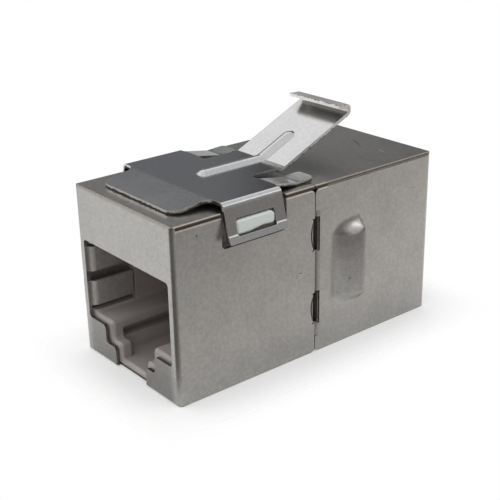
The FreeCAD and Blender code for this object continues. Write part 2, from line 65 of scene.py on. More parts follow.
LEAST_ARC = 3            # fewest points of a round corner
LOG = logging.getLogger("coupler")
Colour = tuple[float, float, float]
Point = tuple[float, float, float]
Span = tuple[float, float]
Fold = tuple[float, float, float]
Shape = Callable[[np.ndarray, np.ndarray], np.ndarray]
Socket = bpy.types.NodeSocket


class Body(Enum):
    """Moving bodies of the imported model."""

    COUPLER = "coupler"
    LEVER = "lever"


class Bench:
    """Adds and links the nodes of one shader tree."""

    def __init__(self, tree: bpy.types.NodeTree) -> None:
        """Starts with an empty tree.

        Args:
            tree: node tree of a material or a world.
        """
        self.tree = tree
        tree.nodes.clear()

    def add(self, kind: str, **settings: object) -> bpy.types.Node:
        """Adds a node.

        Args:
            kind: Blender's name of the node type.
            settings: properties of the node.

        Returns:
            The new node.
        """
        node = self.tree.nodes.new(kind)
        for name, value in settings.items():
            setattr(node, name, value)
        return node

    def feed(self, socket: Socket, value: object) -> None:
        """Links a socket to another one, or sets its value.

        Args:
            socket: input to feed.
            value: output socket or plain value, three numbers where the input is a colour.
        """
        if isinstance(value, bpy.types.NodeSocket):
            self.tree.links.new(value, socket)
        elif socket.type == "RGBA":
            socket.default_value = (*value, 1.0)
        else:
            socket.default_value = value

    def place(self) -> Socket:
        """Returns the Object coordinates, in metres of the part's frame."""
        return self.add("ShaderNodeTexCoord").outputs["Object"]

    def noise(self, place: Socket, size: float, detail: float = 2.0, rough: float = 0.5) -> Socket:
        """Adds noise whose features have a size.

        Args:
            place: coordinates.
            size: size of the features in millimetres.
            detail: octaves of finer noise.
            rough: strength of the finer octaves.

        Returns:
            Socket with values about 0.5.
        """
        node = self.add("ShaderNodeTexNoise")
        self.feed(node.inputs["Vector"], place)
        self.feed(node.inputs["Scale"], 1 / (size * MM))
        self.feed(node.inputs["Detail"], detail)
        self.feed(node.inputs["Roughness"], rough)
        return node.outputs["Fac"]

    def stretch(self, place: Socket, scale: Point) -> Socket:
        """Scales coordinates, so that a pattern is drawn out along an axis.

        Args:
            place: coordinates.
            scale: factor of each axis.

        Returns:
            Socket with the scaled coordinates.
        """
        node = self.add("ShaderNodeMapping")
        self.feed(node.inputs["Vector"], place)
        self.feed(node.inputs["Scale"], scale)
        return node.outputs["Vector"]

    def spread(self, value: Socket, low: float, high: float,
               to_low: float = 0.0, to_high: float = 1.0) -> Socket:
        """Maps a range of values smoothly to another.

        Args:
            value: input.
            low: input that gives to_low.
            high: input that gives to_high.
            to_low: first end of the result.
            to_high: second end of the result.

        Returns:
            Socket with the mapped value.
        """
        node = self.add("ShaderNodeMapRange", interpolation_type="SMOOTHSTEP")
        for name, number in (("Value", value), ("From Min", low), ("From Max", high),
                             ("To Min", to_low), ("To Max", to_high)):
            self.feed(node.inputs[name], number)
        return node.outputs["Result"]

    def vary(self, pattern: Socket, middle: float, play: float) -> Socket:
        """Returns values about a middle that follow a noise pattern."""
        return self.spread(pattern, *NOISE_SPAN, middle - play, middle + play)

    def math(self, operation: str, first: object, second: object = 0.0) -> Socket:
        """Combines two numbers.

        Args:
            operation: Blender's name of the operation.
            first: first number or socket.
            second: second number or socket.

        Returns:
            Socket with the result.
        """
        node = self.add("ShaderNodeMath", operation=operation)
        self.feed(node.inputs[0], first)
        self.feed(node.inputs[1], second)
        return node.outputs[0]

    def mix(self, share: object, first: object, second: object, way: str = "MIX") -> Socket:
        """Mixes two colours.

        Args:
            share: how much of the second colour.
            first: first colour or socket.
            second: second colour or socket.
            way: Blender's name of the blend type.

        Returns:
            Socket with the mixed colour.
        """
        node = self.add("ShaderNodeMix", data_type="RGBA", blend_type=way)
        self.feed(node.inputs[0], share)
        for index, value in zip(MIX_COLOURS, (first, second)):
            self.feed(node.inputs[index], value)
        return node.outputs[MIX_RESULT]

    def bump(self, height: Socket, depth: float, normal: Socket | None = None) -> Socket:
        """Tilts the surface by a height pattern.

        Args:
            height: pattern from 0 to 1.
            depth: depth of the pattern in millimetres.
            normal: normal to start from.

        Returns:
            Socket with the new normal.
        """
        node = self.add("ShaderNodeBump")
        self.feed(node.inputs["Distance"], depth * MM)
        self.feed(node.inputs["Height"], height)
        if normal is not None:
            self.feed(node.inputs["Normal"], normal)
        return node.outputs["Normal"]

    def patch(self, place: Socket, centre: Point, half: Point, turn: Point = (0.0, 0.0, 0.0)) -> Socket:
        """Masks an ellipsoid with a soft rim.

        Args:
            place: coordinates.
            centre: its middle in millimetres.
            half: its half sizes in millimetres.
            turn: its turn about each axis in degrees.

        Returns:
            Socket that is 1 inside and 0 outside.
        """
        node = self.add("ShaderNodeMapping", vector_type="TEXTURE")
        self.feed(node.inputs["Vector"], place)
        self.feed(node.inputs["Location"], tuple(value * MM for value in centre))
        self.feed(node.inputs["Rotation"], tuple(math.radians(value) for value in turn))
        self.feed(node.inputs["Scale"], tuple(value * MM for value in half))
        size = self.add("ShaderNodeVectorMath", operation="LENGTH")
        self.feed(size.inputs[0], node.outputs["Vector"])
        return self.spread(size.outputs["Value"], PATCH_CORE, 1.0, 1.0, 0.0)

    def zone(self, place: Socket, low: Point, high: Point, soft: float) -> Socket:
        """Masks a box that is the same on both sides of the middle plane.

        Args:
            place: coordinates.
            low: lower limits in millimetres, with the distance from the middle plane first.
            high: upper limits in millimetres.
            soft: width of its soft rim in millimetres.

        Returns:
            Socket that is 1 inside and 0 outside.
        """
        parts = self.add("ShaderNodeSeparateXYZ")
        self.feed(parts.inputs[0], place)
        values = [self.math("ABSOLUTE", parts.outputs["X"]), parts.outputs["Y"], parts.outputs["Z"]]
        inside: object = 1.0
        for value, bottom, top in zip(values, low, high):
            for limit, outer, inner in ((bottom, 0.0, 1.0), (top, 1.0, 0.0)):
                step = self.spread(value, (limit - soft / 2) * MM, (limit + soft / 2) * MM, outer, inner)
                inside = self.math("MULTIPLY", step, inside)
        return inside

    def soft_edges(self, radius: object) -> Socket:
        """Rounds the look of sharp edges.

        Args:
            radius: radius in millimetres, or a socket with one.

        Returns:
            Socket with the rounded normal.
        """
        node = self.add("ShaderNodeBevel", samples=EDGE_SAMPLES)
        self.feed(node.inputs["Radius"], self.math("MULTIPLY", radius, MM))
        return node.outputs["Normal"]

    def surface(self, **inputs: object) -> None:
        """Ends the tree in a principled surface.

        Args:
            inputs: sockets or values by input name, with underscores for spaces.
        """
        shader = self.add("ShaderNodeBsdfPrincipled")
        for name, value in inputs.items():
            self.feed(shader.inputs[name.replace("_", " ")], value)
        output = self.add("ShaderNodeOutputMaterial")
        self.feed(output.inputs["Surface"], shader.outputs[0])


def new_material(name: str) -> tuple[bpy.types.Material, Bench]:
    """Makes an empty material.

    Args:
        name: name of the material.

    Returns:
        The material and the bench of its nodes.
    """
    material = bpy.data.materials.new(name)
    material.use_nodes = True
    return material, Bench(material.node_tree)


@dataclass(frozen=True)
class Mark:
    """Mark in a plated face, such as a pit, a hair scratch, a dull patch, painted shade or a painted
    highlight, as an ellipsoid.
    """

    centre: Point
    half: Point
    turn: Point = (0.0, 0.0, 0.0)
    colour: Colour = (0.06, 0.055, 0.05)
    dull: float = 0.0

    def mask(self, bench: Bench, place: Socket) -> Socket:
        """Returns how much of the mark lies at a place."""
        return bench.patch(place, self.centre, self.half, self.turn)


@dataclass(frozen=True)
class ColourBox:
    """Box on both sides of the middle plane where the plate has another colour and may be duller."""

    low: Point
    high: Point
    colour: Colour
    soft: float = 0.06
    dull: float = 0.0

    def mask(self, bench: Bench, place: Socket) -> Socket:
        """Returns how much of the stain lies at a place."""
        return bench.zone(place, self.low, self.high, self.soft)


@dataclass(frozen=True)
class SoftForm:
    """Box on both sides of the middle plane where pressed edges are rounder than elsewhere."""

    low: Point
    high: Point
    radius: float


@dataclass(frozen=True)
class PlatedSheet:
    """Plated sheet metal: fine mottled plate, cloudy patches, faint rolling lines and small marks.

    Sizes are millimetres.
    """

    name: str
    tone: Colour
    cloud: Colour
    roughness: float
    mottle: float
    grain_depth: float
    grain_size: float = 0.3
    grain_dulling: float = 0.006
    speck_span: Span = (0.3, 0.72)
    cloud_size: float = 2.6
    cloud_dulling: float = 0.015
    cloud_span: Span = (0.35, 0.68)
    line_draw: Point = (0.05, 1.0, 1.0)
    line_size: float = 0.12
    line_share: float = 0.5
    edge_radius: float = 0.05
    form_rim: float = 0.3
    marks: tuple[Mark, ...] = ()
    colour_boxes: tuple[ColourBox, ...] = ()
    forms: tuple[SoftForm, ...] = ()

    def material(self) -> bpy.types.Material:
        """Makes the finish.

        Returns:
            Its material.
        """
        made, bench = new_material(self.name)
        place = bench.place()
        fine = bench.noise(place, self.grain_size)
        patches = bench.noise(place, self.cloud_size, *CLOUDY)
        lines = bench.noise(bench.stretch(place, self.line_draw), self.line_size)
        colour = bench.mix(bench.spread(patches, *self.cloud_span), self.tone, self.cloud)
        rough = bench.math("ADD", bench.vary(patches, 0.0, self.cloud_dulling),
                           bench.vary(fine, self.roughness, self.grain_dulling))
        for overlay in (*self.colour_boxes, *self.marks):
            inside = overlay.mask(bench, place)
            colour = bench.mix(inside, colour, overlay.colour)
            if overlay.dull:
                rough = bench.math("ADD", rough, bench.math("MULTIPLY", inside, overlay.dull))
        speck = bench.spread(fine, *self.speck_span, 1.0 - self.mottle, 1.0 + self.mottle)
        colour = bench.mix(1.0, colour, speck, "MULTIPLY")
        radius: object = self.edge_radius
        for form in self.forms:
            inside = bench.zone(place, form.low, form.high, self.form_rim)
            radius = bench.math("MAXIMUM", radius, bench.math("MULTIPLY", inside, form.radius))
        height = bench.math("ADD", fine, bench.math("MULTIPLY", lines, self.line_share))
        normal = bench.bump(height, self.grain_depth, bench.soft_edges(radius))
        bench.surface(Base_Color=colour, Metallic=1.0, Roughness=rough, Normal=normal)
        return made


@dataclass(frozen=True)
class CutEdge:
    """Cut rim of a sheet: burnished along its upper part with a painted highlight, ragged and dark along its
    lower part with painted shade.

    Sizes are millimetres. Shares count from the upper edge of the rim, and the two roughnesses are
    those of the burnished and of the ragged lower part.
    """

    name: str
    burnish_and_highlight: Colour
    torn_and_shade: Colour
    depth_name: str = "depth"
    burnish_share: float = 0.57
    raggedness: float = 0.16
    tear_size: float = 0.35
    tear_rim: float = 0.08
    streak_size: float = 0.1
    streak_draw: Point = (1.0, 1.0, 0.2)
    streak_shine: Span = (0.8, 1.1)
    streak_depth: float = 0.004
    roughness: Span = (0.28, 0.6)

    def material(self) -> bpy.types.Material:
        """Makes the finish.

        Returns:
            Its material.
        """
        made, bench = new_material(self.name)
        place = bench.place()
        depth = bench.add("ShaderNodeAttribute", attribute_name=self.depth_name).outputs["Fac"]
        ragged = bench.vary(bench.noise(place, self.tear_size, *CRISP), 0.0, self.raggedness)
        share = bench.spread(bench.math("ADD", depth, ragged), self.burnish_share - self.tear_rim,
                             self.burnish_share + self.tear_rim)
        streaks = bench.noise(bench.stretch(place, self.streak_draw), self.streak_size)
        streaked = bench.spread(streaks, *NOISE_SPAN, *self.streak_shine)
        shine = bench.mix(1.0, self.burnish_and_highlight, streaked, "MULTIPLY")
        colour = bench.mix(share, shine, self.torn_and_shade)
        rough = bench.spread(share, 0.0, 1.0, *self.roughness)
        normal = bench.bump(streaks, self.streak_depth)
        bench.surface(Base_Color=colour, Metallic=1.0, Roughness=rough, Normal=normal)
        return made


@dataclass(frozen=True)
class MouldedPlastic:
    """Moulded plastic: faint flow clouds and a fine spark-eroded texture, paler outside a half width.

    Sizes are millimetres.
    """

    name: str
    tone: Colour
    shade: Colour
    roughness: float
    roughness_play: float = 0.05
    flow_size: float = 3.0
    texture: float = 0.12
    depth: float = 0.003
    edge: float = 0.09
    pale: Colour | None = None
    pale_from: float = 0.0
    pale_rim: float = 0.05

    def material(self) -> bpy.types.Material:
        """Makes the finish.

        Returns:
            Its material.
        """
        made, bench = new_material(self.name)
        place = bench.place()
        flow = bench.noise(place, self.flow_size, *CLOUDY)
        fine = bench.noise(place, self.texture, *CRISP)
        colour = bench.mix(bench.spread(flow, *NOISE_SPAN), self.tone, self.shade)
        if self.pale is not None:
            parts = bench.add("ShaderNodeSeparateXYZ")
            bench.feed(parts.inputs[0], place)
            out = bench.math("ABSOLUTE", parts.outputs["X"])
            band = (self.pale_from - self.pale_rim) * MM, (self.pale_from + self.pale_rim) * MM
            colour = bench.mix(bench.spread(out, *band), colour, self.pale)
        rough = bench.vary(fine, self.roughness, self.roughness_play)
        normal = bench.bump(fine, self.depth, bench.soft_edges(self.edge))
        bench.surface(Base_Color=colour, Roughness=rough, Normal=normal)
        return made


@dataclass(frozen=True)
class GoldPlate:
    """Gold plate over a drawn contact spring, with draw lines along its length, sizes in millimetres."""

    name: str = "contact_gold"
    tone: Colour = (0.83, 0.60, 0.25)
    worn: Colour = (0.72, 0.56, 0.32)
    wear_size: float = 1.1
    wear_span: Span = (0.35, 0.7)
    roughness: Span = (0.17, 0.26)
    line_draw: Point = (1.0, 0.06, 1.0)
    line_size: float = 0.06
    line_depth: float = 0.002
    edge: float = 0.04

    def material(self) -> bpy.types.Material:
        """Makes the finish.

        Returns:
            Its material.
        """
        made, bench = new_material(self.name)
        place = bench.place()
        lines = bench.noise(bench.stretch(place, self.line_draw), self.line_size)
        patches = bench.noise(place, self.wear_size)
        colour = bench.mix(bench.spread(patches, *self.wear_span), self.tone, self.worn)
        rough = bench.spread(lines, *NOISE_SPAN, *self.roughness)
        normal = bench.bump(lines, self.line_depth, bench.soft_edges(self.edge))
        bench.surface(Base_Color=colour, Metallic=1.0, Roughness=rough, Normal=normal)
        return made


@dataclass(frozen=True)
class BoardLaminate:
    """Green board laminate with the weave of its glass cloth showing through the resist."""

    name: str = "board_laminate"
    tone: Colour = (0.03, 0.15, 0.07)
    thread: Colour = (0.05, 0.22, 0.10)
    thread_scale: float = 200.0
    thread_wobble: float = 0.6
    thread_depth: float = 0.004
    patch_size: float = 2.0
    roughness: Span = (0.32, 0.45)
    edge: float = 0.05

    def material(self) -> bpy.types.Material:
        """Makes the finish.

        Returns:
            Its material.
        """
        made, bench = new_material(self.name)
        place = bench.place()
        threads = []
        for direction in ("X", "Z"):
            wave = bench.add("ShaderNodeTexWave", wave_type="BANDS", bands_direction=direction)
            bench.feed(wave.inputs["Vector"], place)
            bench.feed(wave.inputs["Scale"], self.thread_scale)
            bench.feed(wave.inputs["Distortion"], self.thread_wobble)
            threads.append(wave.outputs["Fac"])
        weave = bench.math("MAXIMUM", *threads)
        patches = bench.noise(place, self.patch_size)
        colour = bench.mix(bench.math("MULTIPLY", weave, patches), self.tone, self.thread)
        rough = bench.spread(patches, *NOISE_SPAN, *self.roughness)
        normal = bench.bump(weave, self.thread_depth, bench.soft_edges(self.edge))
        bench.surface(Base_Color=colour, Roughness=rough, Normal=normal)
        return made


# Colour of dark lines along the top edge of the side and the lower edge of the port
DARK_LINE = (0.085, 0.066, 0.05)
PIT = (0.16, 0.15, 0.14)
SHELL_NICKEL = PlatedSheet(
    "shell_nickel", (0.375, 0.365, 0.352), (0.352, 0.342, 0.329), 0.305, mottle=0.075, grain_depth=0.0014,
    marks=(
        # Painted shade on the face of the ramp, darkest in the hollow below its crest
        Mark((8.0, 4.3, 9.0), (1.3, 2.3, 3.8), colour=(0.318, 0.308, 0.296)),
        Mark((8.0, 3.9, 9.8), (1.3, 2.1, 2.2), colour=(0.27, 0.26, 0.25)),
        Mark((8.0, 3.9, 10.2), (1.3, 1.8, 1.2), colour=(0.235, 0.226, 0.216)),
        # Pit and hair scratches on the side
        Mark((7.3, -12.55, 14.76), (0.1, 0.09, 0.09)),
        Mark((7.3, -1.9, 8.08), (0.05, 0.05, 0.22), (-25.0, 0.0, 0.0), PIT),
        Mark((7.3, -1.55, 8.3), (0.05, 0.3, 0.05), (-10.0, 0.0, 0.0), PIT),
        Mark((7.75, 4.11, 6.32), (0.2, 0.18, 0.06), (35.0, 0.0, 0.0)),
        # Painted highlight on the crest of the ramp
        Mark((8.0, 4.4, 11.2), (1.2, 1.35, 0.85), colour=(0.45, 0.44, 0.43)),
        Mark((8.0, 4.6, 11.1), (1.2, 0.95, 0.6), colour=(0.72, 0.71, 0.70)),
        # Pits on the ramp and near the rear end
        Mark((7.4, 2.84, 5.19), (0.1, 0.07, 0.07), colour=(0.14, 0.13, 0.12)),
        Mark((7.3, 12.69, 12.91), (0.1, 0.08, 0.08), colour=PIT),
        # Scratch and smudge on top
        Mark((0.57, 11.78, 16.0), (1.25, 0.07, 0.05), (0.0, 0.0, -24.0), (0.03, 0.03, 0.03)),
        Mark((4.13, 11.62, 16.0), (0.8, 0.16, 0.06), (0.0, 0.0, -18.0), (0.5, 0.5, 0.495))),
    colour_boxes=(
        # Top edge of the side: painted highlight along the front shell, then dark lines along the front and
        # the rear shell
        ColourBox((7.2, -14.6, 15.48), (7.5, 1.6, 15.66), (0.60, 0.565, 0.49), 0.04),
        ColourBox((7.2, -14.6, 15.66), (7.5, 1.6, 15.92), DARK_LINE),
        ColourBox((7.2, 1.6, 15.74), (7.5, 15.0, 15.92), (0.125, 0.10, 0.08)),
        # Dark line along the lower edge of the port
        ColourBox((0.0, -15.1, -0.1), (2.6, -14.0, 0.29), DARK_LINE),
        # Painted shade along the top edge of the front, then a painted highlight on the front shell's upper
        # edge and painted shade on the rear shell's
        ColourBox((0.0, -15.1, 15.8), (7.4, -14.72, 16.1), (0.255, 0.232, 0.205), 0.2),
        ColourBox((7.1, -14.6, 15.94), (7.5, 1.6, 16.1), (0.42, 0.39, 0.335), 0.04),
        ColourBox((7.1, 1.6, 15.94), (7.5, 15.0, 16.1), (0.27, 0.255, 0.225), 0.04),
        # Painted light on the ground tongues, which sit in the port's shade; they are also duller
        ColourBox((5.4, -14.7, 4.0), (7.05, -10.0, 11.0), (0.62, 0.60, 0.58), 0.3, 0.3),
        # Painted shade on the front below the port's shelf
        ColourBox((2.2, -15.1, -1.0), (6.4, -14.6, 3.9), (0.164, 0.156, 0.149), 1.0),
        # Painted light on the hooks and the lap inside the seam's dark slots; they are also duller
        ColourBox((6.0, -0.2, 2.7), (7.1, 1.5, 13.2), (0.92, 0.89, 0.86), 0.04, 0.35)),
    # Ramp, then the upright bends beside the front
    forms=(SoftForm((7.0, 1.7, 3.2), (9.0, 6.2, 12.4), 0.4),
           SoftForm((6.5, -15.3, -0.5), (7.7, -13.9, 15.4), 0.22)))
CLIP_STEEL = PlatedSheet(
    "clip_steel", (0.475, 0.475, 0.48), (0.46, 0.46, 0.465), 0.16, mottle=0.04, grain_depth=0.0012,
    line_share=0.9,
    marks=(
        # Bright speck on the plate and pit in the hook
        Mark((-1.78, -3.86, 16.76), (0.12, 0.1, 0.05), colour=(0.85, 0.85, 0.85)),
        Mark((2.8, 6.95, 20.9), (0.16, 0.2, 0.2)),
        # Duller metal at the hook; on both leaves, painted light, and the leaves are also duller
        Mark((0.0, 7.6, 20.0), (5.0, 2.2, 1.6), colour=(0.46, 0.455, 0.445), dull=0.085),
        *(Mark((side * 5.35, 0.15, 16.6), (1.5, 1.5, 1.0), colour=(0.64, 0.64, 0.63), dull=0.085)
          for side in (-1, 1))))
# Burnished part lighter than the steel, as a painted highlight; ragged dark part with painted shade under
# the edge
CUT_EDGE = CutEdge("cut_edge", (0.66, 0.64, 0.612), (0.12, 0.10, 0.087))
HOUSING_PLASTIC = MouldedPlastic("housing_plastic", (0.38, 0.345, 0.335), (0.34, 0.31, 0.30), 0.42,
                                 edge=0.22, pale=(0.75, 0.805, 0.77), pale_from=7.0)
CARRIER_PLASTIC = MouldedPlastic("carrier_plastic", (0.035, 0.035, 0.038), (0.05, 0.05, 0.052), 0.5)


@dataclass(frozen=True)
class FoldPath:
    """Middle line of a folded sheet seen edge on: straight runs, each followed by a round turn.

    A fold holds the length of the run, the turn in degrees and the radius of the turn.
    """

    folds: tuple[Fold, ...]

    def walk(self, distance: np.ndarray) -> tuple[np.ndarray, np.ndarray]:
        """Follows the line from its start.

        A run moves straight along the heading. A turn moves round an arc of its radius, and a positive
        turn bends the heading upwards. The last run goes on for ever.

        Args:
            distance: distances along the line in millimetres.

        Returns:
            How far forwards and how far up each distance lies.
        """
        forward = np.zeros_like(distance)
        up = np.zeros_like(distance)
        left = np.maximum(distance, 0.0)
        heading = 0.0
        last = len(self.folds) - 1
        for index, (run, turn, radius) in enumerate(self.folds):
            step = left if index == last else np.minimum(left, run)
            forward = forward + step * math.cos(heading)
            up = up + step * math.sin(heading)
            left = left - step
            sweep = math.radians(turn)
            part = np.minimum(left, abs(sweep) * radius)
            reached = heading + np.divide(part, radius if radius else 1.0) * math.copysign(1.0, sweep)
            side = math.copysign(radius, sweep)
            forward = forward + side * (np.sin(reached) - math.sin(heading))
            up = up + side * (math.cos(heading) - np.cos(reached))
            left = left - part
            heading += sweep
        return forward, up

    def turns(self) -> list[Span]:
        """Finds the turns along the line.

        Returns:
            Where each turn starts and ends.
        """
        spans = []
        reached = 0.0
        for run, turn, radius in self.folds:
            start = reached + run
            reached = start + abs(math.radians(turn)) * radius
            if turn:
                spans.append((start, reached))
        return spans


def rounded_outline(corners: list[tuple[float, float, float]], step: float) -> np.ndarray:
    """Closed outline with round corners.

    Between corners the outline runs straight. At a corner of some radius it follows the arc that
    touches both sides.

    Args:
        corners: places and radii of the corners, in order.
        step: distance between points.

    Returns:
        Points of the outline, one row each.
    """
    spots = np.array([corner[:2] for corner in corners])
    radii = np.array([corner[2] for corner in corners])
    before = np.roll(spots, 1, axis=0) - spots
    after = np.roll(spots, -1, axis=0) - spots
    before /= np.linalg.norm(before, axis=1, keepdims=True)
    after /= np.linalg.norm(after, axis=1, keepdims=True)
    half = np.arccos(np.clip((before * after).sum(1), -1.0, 1.0)) / 2
    trim = radii / np.tan(half)
    starts = spots + before * trim[:, None]
    ends = spots + after * trim[:, None]
    pieces = []
    for index in range(len(corners)):
        if radii[index] > 0:
            middle = (before[index] + after[index]) / np.linalg.norm(before[index] + after[index])
            centre = spots[index] + middle * radii[index] / math.sin(half[index])
            count = max(LEAST_ARC, math.ceil((math.pi - 2 * half[index]) * radii[index] / step))
            share = np.linspace(0.0, 1.0, count, endpoint=False)[:, None]
            spoke = (starts[index] - centre) * (1 - share) + (ends[index] - centre) * share
            pieces.append(centre + spoke * radii[index] / np.linalg.norm(spoke, axis=1, keepdims=True))
        following = starts[(index + 1) % len(corners)]
        count = max(1, math.ceil(np.linalg.norm(following - ends[index]) / step))
        share = np.linspace(0.0, 1.0, count, endpoint=False)[:, None]
        pieces.append(ends[index] * (1 - share) + following * share)
    return np.concatenate(pieces)


def distance_to_outline(points: np.ndarray, outline: np.ndarray) -> np.ndarray:
    """Signed distance of points to a closed outline, positive inside.

    The size is the least distance to a side. The sign comes from the count of sides that a line
    to the right of the point crosses.

    Args:
        points: places, one row each.
        outline: corners of the outline in order.

    Returns:
        Distance of each point.
    """
    first = outline[None]
    side = np.roll(outline, -1, axis=0)[None] - first
    apart = points[:, None] - first
    along = np.clip((apart * side).sum(2) / (side * side).sum(2), 0.0, 1.0)
    least = np.linalg.norm(apart - along[..., None] * side, axis=2).min(1)
    rising = (apart[..., 1] >= 0) != (apart[..., 1] - side[..., 1] >= 0)
    safe = np.where(np.abs(side[..., 1]) < LEVEL, 1.0, side[..., 1])
    right = first[..., 0] + apart[..., 1] / safe * side[..., 0] > points[:, None, 0]
    inside = (rising & right).sum(1) % 2 == 1
    return np.where(inside, least, -least)


def upward_normals(shape: Shape, across: np.ndarray, along: np.ndarray) -> np.ndarray:
    """Unit normals of a surface over a flat sheet.

    The normal is the cross product of the differences of the surface along its two coordinates.

    Args:
        shape: places of the surface over flat coordinates.
        across: flat coordinate across the sheet.
        along: flat coordinate along the sheet.

    Returns:
        Normals, one row each.
    """
    tiny = 1e-3
    sideways = shape(across + tiny, along) - shape(across - tiny, along)
    lengthways = shape(across, along + tiny) - shape(across, along - tiny)
    normal = np.cross(sideways, lengthways)
    return normal / np.linalg.norm(normal, axis=1, keepdims=True)


@dataclass
class SpringClip:
    """One folded sheet: plate with side tabs, front lip, two leaves, a bead and the release lever.

    Sizes are millimetres, and turns are degrees. The sheet is first laid flat, with one coordinate
    across and one along, then folded. The counts of lines set how fine the mesh is.
    """

    sheet: float = 0.3
    plate_height: float = 16.61
    plate_front: float = -9.84
    plate_rear: float = -3.66
    tab_folds: tuple[Fold, ...] = ((6.85, -76.0, 0.35), (2.34, 34.0, 0.12), (0.05, -26.0, 0.12),
                                   (0.6, 0.0, 0.0))
    tab_end: float = 10.44
    tab_corner: float = 0.12
    opening: tuple[float, float, float, float] = (8.36, 9.9, -8.87, -4.73)
    opening_corner: float = 0.2
    lip_half: float = 5.42
    lip_reach: float = 3.56
    lip_fall: float = 7.05
    lip_radius: float = 2.5
    lip_corner: float = 1.2
    lip_fillet: float = 0.8
    leaf_inner: float = 4.35
    leaf_outer: float = 6.35
    leaf_corner: float = 0.42
    leaf_length: float = 4.58
    leaf_folds: tuple[Fold, ...] = ((0.0, -9.72, 0.8), (2.45, 13.07, 0.3), (2.05, 0.0, 0.0))
    slit_fillet: float = 0.25
    lever_half: float = 3.3
    lever_root: float = 0.2
    lever_rise: float = 24.3
    root_radius: float = 0.55
    lever_run: float = 8.42
    hook_radius: float = 0.3
    hook_wall: float = 0.22
    hook_lip: float = 1.09
    hook_lip_rise: float = 3.0
    arm_underside_depth: float = 0.62
    bead_half: float = 0.68
    bead_height: float = 0.35
    bead_front: float = -6.225
    bead_rear: float = 3.775
    bead_power: float = 1.4
    edge_step: float = 0.07
    edge_clear: float = 0.6
    edge_round: float = 0.08
    edge_segments: int = 2
    edge_turn: float = 50.0
    sharp_turn: float = 45.0
    bead_zone: float = 0.95
    bead_lines: int = 14
    bead_end: float = 0.8
    bead_end_lines: int = 17
    plate_lines: int = 22
    fold_lines: int = 8
    tab_lines: int = 9
    foot_lines: int = 4
    lip_lines: int = 10
    leaf_lines: int = 5
    lever_lines: int = 6
    lever_step: float = 0.06
    grid_step: float = 0.24
    grid_digits: int = 4
    across: FoldPath = field(init=False)
    lip: FoldPath = field(init=False)
    leaf: FoldPath = field(init=False)
    lever: FoldPath = field(init=False)
    lip_start: float = field(init=False)
    root_start: float = field(init=False)

    def __post_init__(self) -> None:
        """Sets up the folds from the sizes."""
        self.across = FoldPath(self.tab_folds)
        ease = self.lip_radius * math.tan(math.radians(self.lip_fall / 2))
        self.lip_start = self.plate_front + ease
        self.lip = FoldPath(((0.0, -self.lip_fall, self.lip_radius), (self.lip_reach, 0.0, 0.0)))
        self.leaf = FoldPath(self.leaf_folds)
        ease = self.root_radius * math.tan(math.radians(self.lever_rise / 2))
        self.root_start = self.lever_root - ease
        self.lever = FoldPath(((0.0, self.lever_rise, self.root_radius),
                               (self.lever_run - ease, 90.0 - self.lever_rise, self.hook_radius),
                               (self.hook_wall, 90.0 - self.hook_lip_rise, self.hook_radius),
                               (self.hook_lip, 0.0, 0.0)))

    def lip_end(self) -> float:
        """Finds the lip's front edge.

        Returns:
            Its flat coordinate along the sheet.
        """
        fall = math.radians(self.lip_fall)
        ease = self.lip_radius * math.tan(fall / 2)
        return self.lip_start - self.lip_radius * fall - (self.lip_reach - ease) / math.cos(fall)

    def lever_end(self) -> float:
        """Returns the flat coordinate of the hooked end's edge."""
        return self.root_start + self.lever.turns()[-1][1] + self.hook_lip

    def blank(self) -> np.ndarray:
        """Draws the outline of the flat sheet, right half and its mirror image.

        Returns:
            Points of the outline, one row each.
        """
        leaf_end = self.plate_rear + self.leaf_length
        right = [(self.lip_half, self.lip_end(), self.lip_corner),
                 (self.lip_half, self.plate_front, self.lip_fillet),
                 (self.tab_end, self.plate_front, self.tab_corner),
                 (self.tab_end, self.plate_rear, self.tab_corner),
                 (self.leaf_outer, self.plate_rear, self.slit_fillet),
                 (self.leaf_outer, leaf_end, self.leaf_corner),
                 (self.leaf_inner, leaf_end, self.leaf_corner),
                 (self.leaf_inner, self.plate_rear, self.slit_fillet),
                 (self.lever_half, self.plate_rear, self.slit_fillet),
                 (self.lever_half, self.lever_end(), 0.0)]
        left = [(-across, along, radius) for across, along, radius in reversed(right)]
        return rounded_outline(right + left, self.edge_step)

    def windows(self) -> list[np.ndarray]:
        """Draws the openings in both tabs.

        Returns:
            Points of each outline, one row each.
        """
        low, high, front, rear = self.opening
        corners = [(low, front), (high, front), (high, rear), (low, rear)]
        made = rounded_outline([(*corner, self.opening_corner) for corner in corners], self.edge_step)
        return [made, made * np.array([-1.0, 1.0])]

    def bead(self, across: np.ndarray, along: np.ndarray) -> np.ndarray:
        """Height of the pressed bead.

        With q the distance to the bead's middle line over its half width, the height is
        (1 - q squared) to the power of the bead, times the full height, and zero beyond q = 1.

        Args:
            across: flat coordinate across the sheet.
            along: flat coordinate along the sheet.

        Returns:
            Height above the sheet.
        """
        past = along - np.clip(along, self.bead_front, self.bead_rear)
        share = np.clip(1.0 - (across ** 2 + past ** 2) / self.bead_half ** 2, 0.0, 1.0)
        return self.bead_height * share ** self.bead_power

